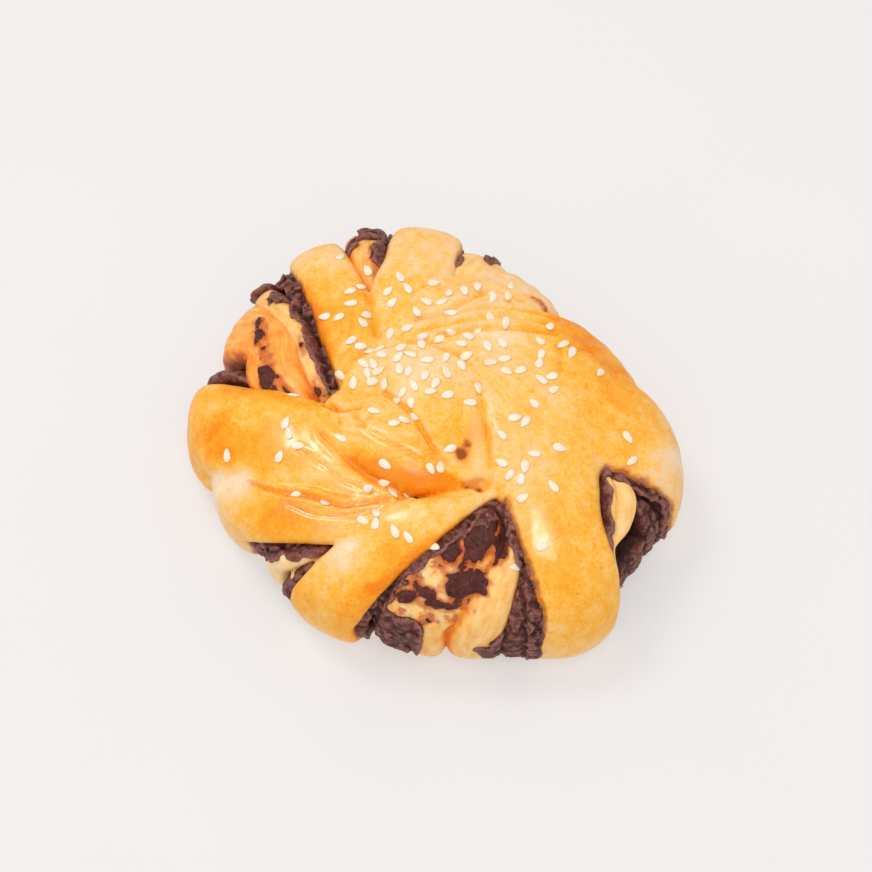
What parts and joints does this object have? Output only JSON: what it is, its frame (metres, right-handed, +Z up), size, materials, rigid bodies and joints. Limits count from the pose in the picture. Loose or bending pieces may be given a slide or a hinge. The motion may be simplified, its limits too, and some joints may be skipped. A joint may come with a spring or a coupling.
{
  "type": "red bean bun",
  "caption": "Round twisted bread bun: straps of glazed dough swirl from a knot at the crown to the base, dark bean paste and inner folds show in the gaps, sesame seeds on top.",
  "frame": {"origin": "middle of the flat base, under the middle of the bun's box", "axes": "+X to the right and +Y to the back as the picture shows the bun, +Z up through the crown"},
  "size_m": [0.1154, 0.1082, 0.0437],
  "materials": {
    "glazed_dough": "egg-washed golden crust, softly glossy",
    "bean_paste": "dark moist paste, dull with a faint sheen"
  },
  "bodies": {
    "root": {"dough": "glazed_dough", "bean_paste": "bean_paste"}
  },
  "joints": []
}
